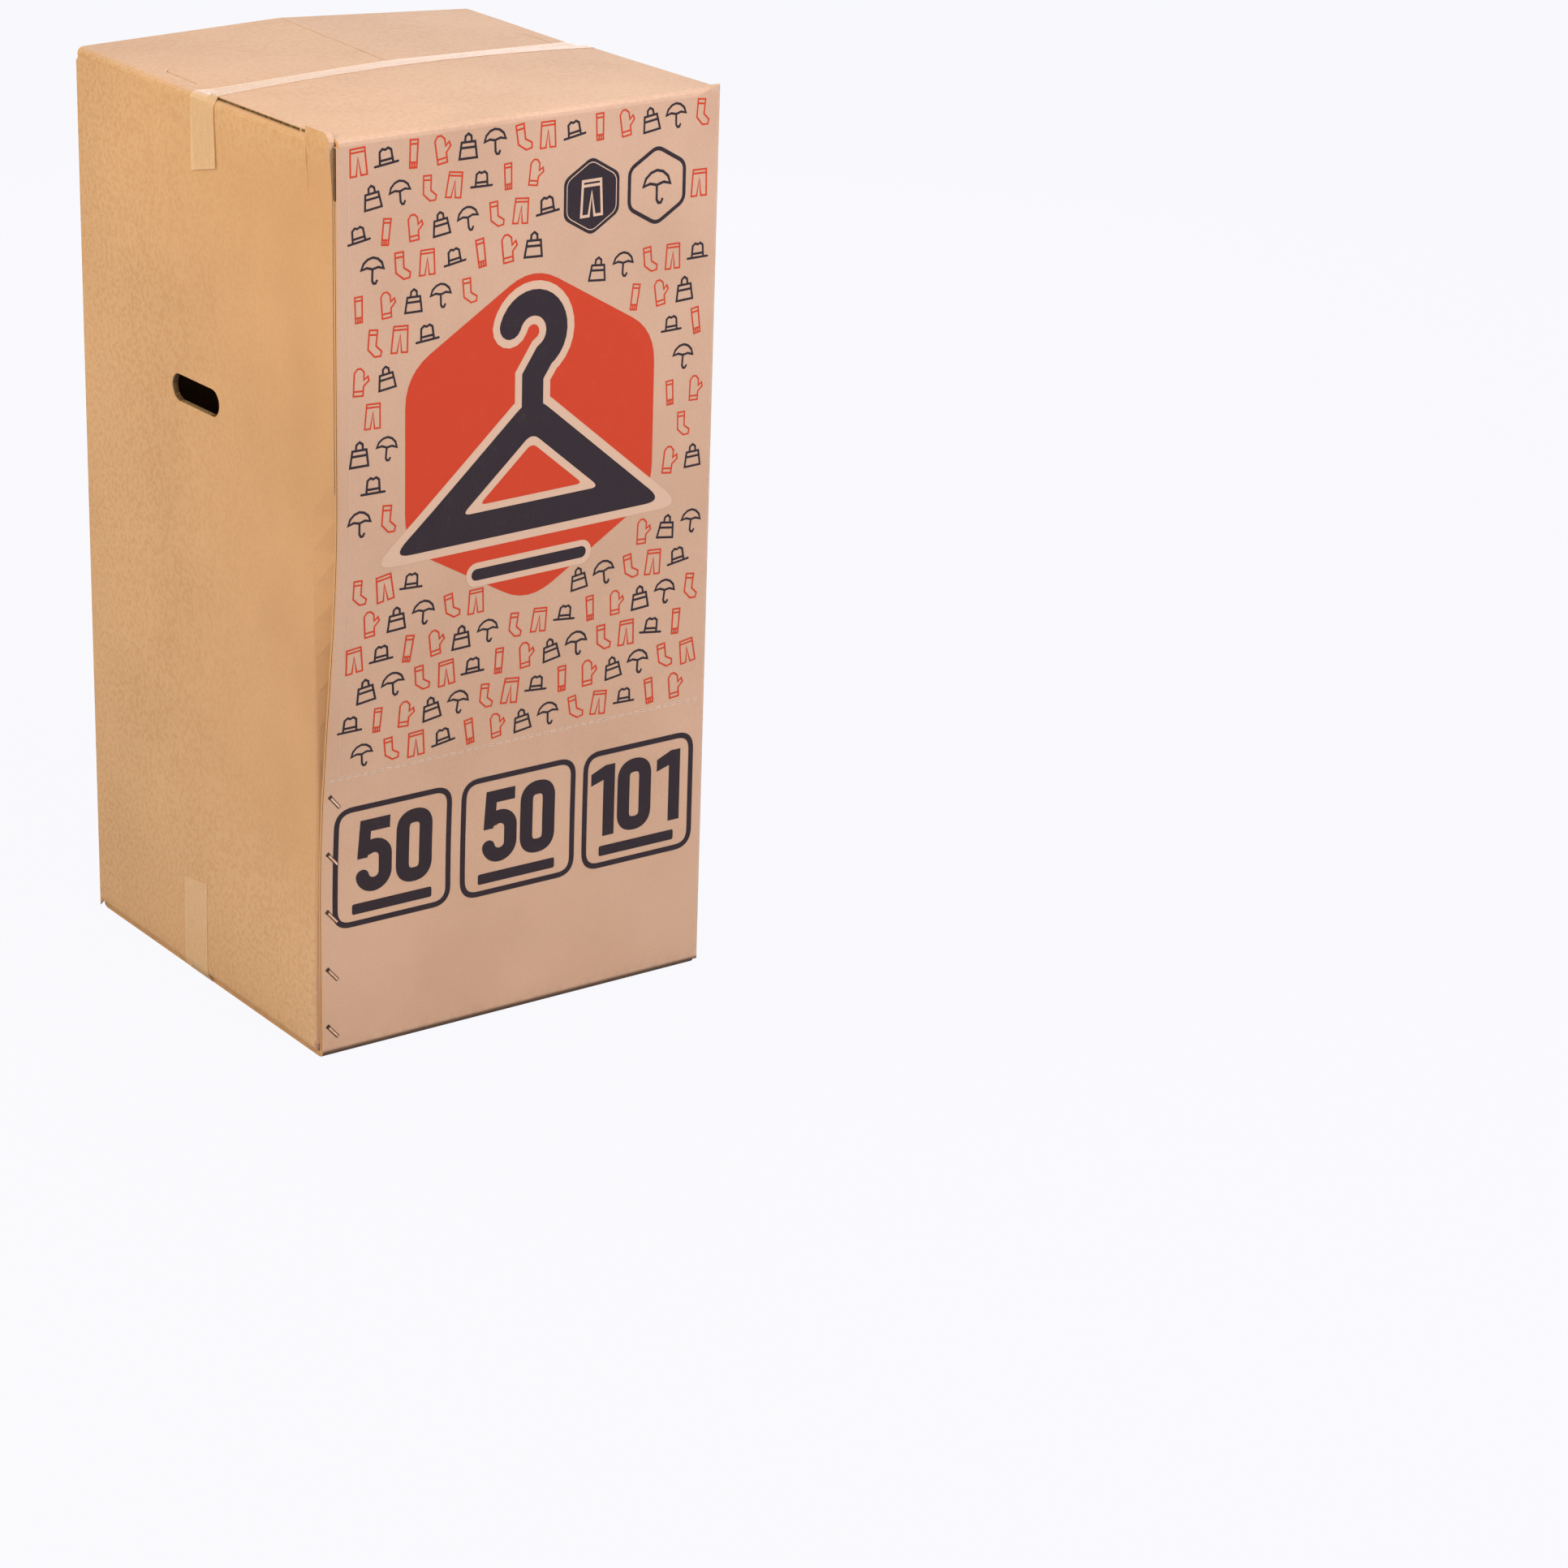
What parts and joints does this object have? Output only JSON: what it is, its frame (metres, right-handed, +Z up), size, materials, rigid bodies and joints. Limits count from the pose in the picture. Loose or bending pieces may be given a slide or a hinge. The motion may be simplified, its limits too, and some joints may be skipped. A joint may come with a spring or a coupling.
{
  "type": "wardrobe moving carton",
  "caption": "Tall closed corrugated moving carton with taped top and bottom flaps, stapled corner seam, side carrying holes and a perforated front door.",
  "frame": {"origin": "centre of the bounding box on the floor plane", "axes": "+Z up along the carton's height, the printed and perforated front faces -Y, the stapled corner is at -X"},
  "size_m": [0.5025, 0.54, 1.015],
  "materials": {
    "board": "matt kraft",
    "tape": "clear satin film",
    "staple": "copper coated",
    "rail": "satin"
  },
  "bodies": {
    "root": {"carton": "board", "top_tape": "tape", "bottom_tape": "tape", "staple_1": "staple", "staple_2": "staple", "staple_3": "staple", "staple_4": "staple", "staple_5": "staple", "clothes_rail": "rail"}
  },
  "joints": []
}
